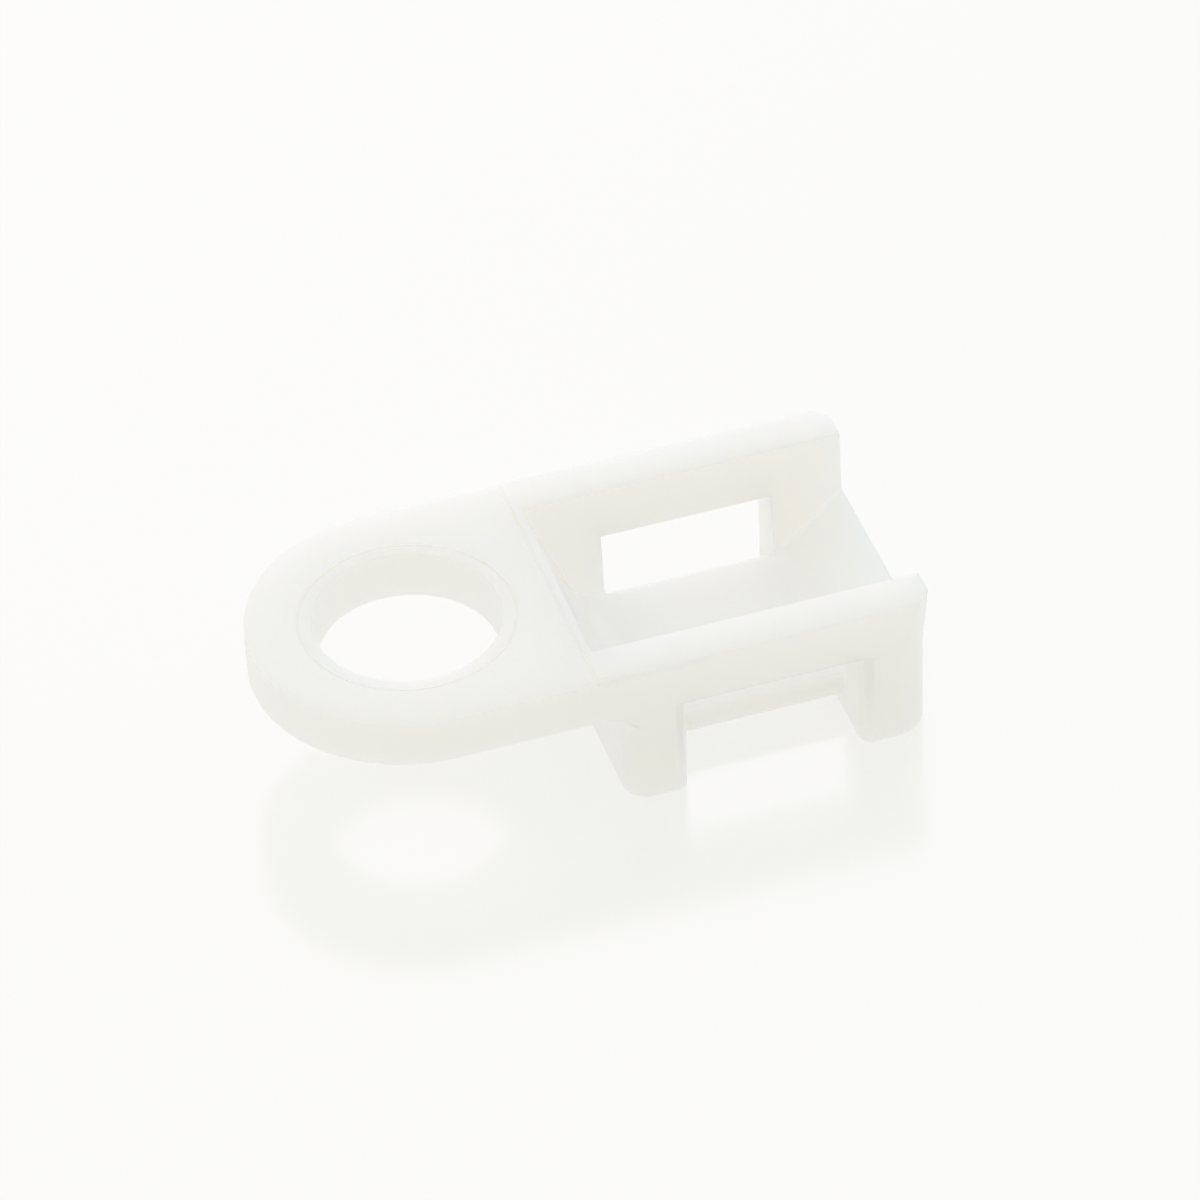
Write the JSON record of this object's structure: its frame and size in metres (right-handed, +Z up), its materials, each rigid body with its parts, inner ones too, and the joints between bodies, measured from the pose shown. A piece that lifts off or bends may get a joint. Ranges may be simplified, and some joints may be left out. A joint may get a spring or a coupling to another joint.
{
  "type": "cable tie mount",
  "caption": "Screw-on cable tie mount: a round-ended tab with a screw hole and a ribbed box whose low bridge a strap passes over from side to side.",
  "frame": {"origin": "midway along the length and the width, at the rib feet", "axes": "+X along the length from the tab towards the open end, +Y across the width, +Z up from the rib feet to the face taken to go against the panel"},
  "size_m": [0.0304, 0.015, 0.0077],
  "materials": {
    "nylon": "natural translucent nylon, satin"
  },
  "bodies": {
    "root": {"tie_mount": "nylon"}
  },
  "joints": []
}
